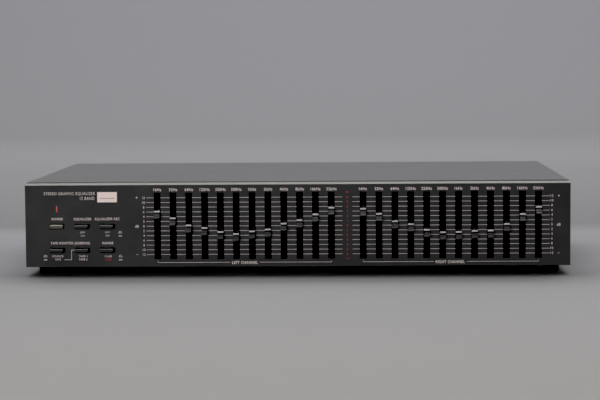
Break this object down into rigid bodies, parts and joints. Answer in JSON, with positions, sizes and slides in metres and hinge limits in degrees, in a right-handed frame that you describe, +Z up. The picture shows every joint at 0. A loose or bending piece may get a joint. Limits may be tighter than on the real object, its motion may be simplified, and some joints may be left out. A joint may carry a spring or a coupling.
{
  "type": "graphic equalizer",
  "caption": "Full-width stereo graphic equalizer: low cabinet on feet, black front panel with rows of slide controls, push buttons and a red indicator bar, phono sockets at the back.",
  "frame": {"origin": "on the surface that the feet stand on, under the middle of the whole outline, knobs and sockets included", "axes": "+X to the right seen from the front, the front panel faces -Y, +Z up"},
  "size_m": [0.4326, 0.28, 0.0741],
  "materials": {
    "panel_black": "fine brushed black anodised, bare bevel along the top",
    "plated_steel": "zinc plated",
    "name_plate": "satin pale metal",
    "lens_red": "tinted red",
    "felt_black": "thin felt",
    "case_black": "blackened steel",
    "track_carbon": "carbon film on phenolic paper",
    "board": "phenolic board with solder resist",
    "switch_plastic": "moulded",
    "base_steel": "satin black paint",
    "rear_black": "satin black paint",
    "cover_grey": "fine textured dark paint",
    "foot_plastic": "moulded",
    "black_screw": "blackened steel",
    "socket_plastic": "moulded, white above and red below",
    "socket_metal": "nickel plated",
    "gland_rubber": "moulded",
    "chip_black": "moulded epoxy",
    "capacitor_sleeve": "shrunk sleeve",
    "heatsink": "extruded",
    "core_steel": "varnished laminations",
    "coil_tape": "wound and taped",
    "ribbon_grey": "ribbed flat cable",
    "knob_plastic": "moulded, white mark on the top edge",
    "button_black": "moulded",
    "button_olive": "moulded"
  },
  "bodies": {
    "cabinet": {"front_panel": "panel_black", "panel_nuts": "plated_steel", "name_plate": "name_plate", "indicator_lamp": "lens_red", "dust_felt": "felt_black", "sub_panel": "plated_steel", "slide_control_cases": "case_black", "slide_control_tracks": "track_carbon", "slider_board": "board", "switch_bodies": "switch_plastic", "switch_board": "board", "chassis_base": "base_steel", "rear_panel": "rear_black", "top_cover": "cover_grey", "feet": "foot_plastic", "foot_screws": "plated_steel", "case_screws": "black_screw", "phono_blocks": "socket_plastic", "phono_shells": "socket_metal", "cord_gland": "gland_rubber", "main_board": "board", "board_pillars": "plated_steel", "board_screws": "plated_steel", "op_amps": "chip_black", "filter_capacitors": "capacitor_sleeve", "regulator_heatsink": "heatsink", "transformer_core": "core_steel", "transformer_coil": "coil_tape", "transformer_screws": "plated_steel", "ribbon_cables": "ribbon_grey"},
    "power_button": {"power_button": "button_olive"},
    "equalizer_button": {"equalizer_button": "button_black"},
    "equalizer_rec_button": {"equalizer_rec_button": "button_black"},
    "tape_monitor_button": {"tape_monitor_button": "button_black"},
    "tape_select_button": {"tape_select_button": "button_black"},
    "range_button": {"range_button": "button_black"},
    "left_16hz_slider": {"left_16hz_slider": "knob_plastic"},
    "left_32hz_slider": {"left_32hz_slider": "knob_plastic"},
    "left_64hz_slider": {"left_64hz_slider": "knob_plastic"},
    "left_125hz_slider": {"left_125hz_slider": "knob_plastic"},
    "left_250hz_slider": {"left_250hz_slider": "knob_plastic"},
    "left_500hz_slider": {"left_500hz_slider": "knob_plastic"},
    "left_1khz_slider": {"left_1khz_slider": "knob_plastic"},
    "left_2khz_slider": {"left_2khz_slider": "knob_plastic"},
    "left_4khz_slider": {"left_4khz_slider": "knob_plastic"},
    "left_8khz_slider": {"left_8khz_slider": "knob_plastic"},
    "left_16khz_slider": {"left_16khz_slider": "knob_plastic"},
    "left_32khz_slider": {"left_32khz_slider": "knob_plastic"},
    "right_16hz_slider": {"right_16hz_slider": "knob_plastic"},
    "right_32hz_slider": {"right_32hz_slider": "knob_plastic"},
    "right_64hz_slider": {"right_64hz_slider": "knob_plastic"},
    "right_125hz_slider": {"right_125hz_slider": "knob_plastic"},
    "right_250hz_slider": {"right_250hz_slider": "knob_plastic"},
    "right_500hz_slider": {"right_500hz_slider": "knob_plastic"},
    "right_1khz_slider": {"right_1khz_slider": "knob_plastic"},
    "right_2khz_slider": {"right_2khz_slider": "knob_plastic"},
    "right_4khz_slider": {"right_4khz_slider": "knob_plastic"},
    "right_8khz_slider": {"right_8khz_slider": "knob_plastic"},
    "right_16khz_slider": {"right_16khz_slider": "knob_plastic"},
    "right_32khz_slider": {"right_32khz_slider": "knob_plastic"}
  },
  "joints": [
    {"name": "power_press", "type": "slide", "parent": "cabinet", "child": "power_button", "axis": [0, 1, 0], "range_m": [-0.003, 0]},
    {"name": "equalizer_press", "type": "slide", "parent": "cabinet", "child": "equalizer_button", "axis": [0, 1, 0], "range_m": [0, 0.003], "stiffness_N_per_m": 100},
    {"name": "equalizer_rec_press", "type": "slide", "parent": "cabinet", "child": "equalizer_rec_button", "axis": [0, 1, 0], "range_m": [0, 0.003], "stiffness_N_per_m": 100},
    {"name": "tape_monitor_press", "type": "slide", "parent": "cabinet", "child": "tape_monitor_button", "axis": [0, 1, 0], "range_m": [0, 0.003], "stiffness_N_per_m": 100},
    {"name": "tape_select_press", "type": "slide", "parent": "cabinet", "child": "tape_select_button", "axis": [0, 1, 0], "range_m": [0, 0.003], "stiffness_N_per_m": 100},
    {"name": "range_press", "type": "slide", "parent": "cabinet", "child": "range_button", "axis": [0, 1, 0], "range_m": [0, 0.003], "stiffness_N_per_m": 100},
    {"name": "left_16hz_slide", "type": "slide", "parent": "cabinet", "child": "left_16hz_slider", "axis": [0, 0, 1], "range_m": [-0.0318, 0.0132]},
    {"name": "left_32hz_slide", "type": "slide", "parent": "cabinet", "child": "left_32hz_slider", "axis": [0, 0, 1], "range_m": [-0.0265, 0.0185]},
    {"name": "left_64hz_slide", "type": "slide", "parent": "cabinet", "child": "left_64hz_slider", "axis": [0, 0, 1], "range_m": [-0.0208, 0.0242]},
    {"name": "left_125hz_slide", "type": "slide", "parent": "cabinet", "child": "left_125hz_slider", "axis": [0, 0, 1], "range_m": [-0.0187, 0.0263]},
    {"name": "left_250hz_slide", "type": "slide", "parent": "cabinet", "child": "left_250hz_slider", "axis": [0, 0, 1], "range_m": [-0.0155, 0.0295]},
    {"name": "left_500hz_slide", "type": "slide", "parent": "cabinet", "child": "left_500hz_slider", "axis": [0, 0, 1], "range_m": [-0.0139, 0.0311]},
    {"name": "left_1khz_slide", "type": "slide", "parent": "cabinet", "child": "left_1khz_slider", "axis": [0, 0, 1], "range_m": [-0.0159, 0.0291]},
    {"name": "left_2khz_slide", "type": "slide", "parent": "cabinet", "child": "left_2khz_slider", "axis": [0, 0, 1], "range_m": [-0.0173, 0.0277]},
    {"name": "left_4khz_slide", "type": "slide", "parent": "cabinet", "child": "left_4khz_slider", "axis": [0, 0, 1], "range_m": [-0.0219, 0.0231]},
    {"name": "left_8khz_slide", "type": "slide", "parent": "cabinet", "child": "left_8khz_slider", "axis": [0, 0, 1], "range_m": [-0.0245, 0.0205]},
    {"name": "left_16khz_slide", "type": "slide", "parent": "cabinet", "child": "left_16khz_slider", "axis": [0, 0, 1], "range_m": [-0.029, 0.016]},
    {"name": "left_32khz_slide", "type": "slide", "parent": "cabinet", "child": "left_32khz_slider", "axis": [0, 0, 1], "range_m": [-0.0343, 0.0107]},
    {"name": "right_16hz_slide", "type": "slide", "parent": "cabinet", "child": "right_16hz_slider", "axis": [0, 0, 1], "range_m": [-0.0333, 0.0117]},
    {"name": "right_32hz_slide", "type": "slide", "parent": "cabinet", "child": "right_32hz_slider", "axis": [0, 0, 1], "range_m": [-0.0292, 0.0158]},
    {"name": "right_64hz_slide", "type": "slide", "parent": "cabinet", "child": "right_64hz_slider", "axis": [0, 0, 1], "range_m": [-0.0234, 0.0216]},
    {"name": "right_125hz_slide", "type": "slide", "parent": "cabinet", "child": "right_125hz_slider", "axis": [0, 0, 1], "range_m": [-0.021, 0.024]},
    {"name": "right_250hz_slide", "type": "slide", "parent": "cabinet", "child": "right_250hz_slider", "axis": [0, 0, 1], "range_m": [-0.0165, 0.0285]},
    {"name": "right_500hz_slide", "type": "slide", "parent": "cabinet", "child": "right_500hz_slider", "axis": [0, 0, 1], "range_m": [-0.0145, 0.0305]},
    {"name": "right_1khz_slide", "type": "slide", "parent": "cabinet", "child": "right_1khz_slider", "axis": [0, 0, 1], "range_m": [-0.0147, 0.0303]},
    {"name": "right_2khz_slide", "type": "slide", "parent": "cabinet", "child": "right_2khz_slider", "axis": [0, 0, 1], "range_m": [-0.0155, 0.0295]},
    {"name": "right_4khz_slide", "type": "slide", "parent": "cabinet", "child": "right_4khz_slider", "axis": [0, 0, 1], "range_m": [-0.0158, 0.0292]},
    {"name": "right_8khz_slide", "type": "slide", "parent": "cabinet", "child": "right_8khz_slider", "axis": [0, 0, 1], "range_m": [-0.0208, 0.0242]},
    {"name": "right_16khz_slide", "type": "slide", "parent": "cabinet", "child": "right_16khz_slider", "axis": [0, 0, 1], "range_m": [-0.0285, 0.0165]},
    {"name": "right_32khz_slide", "type": "slide", "parent": "cabinet", "child": "right_32khz_slider", "axis": [0, 0, 1], "range_m": [-0.0342, 0.0108]}
  ]
}
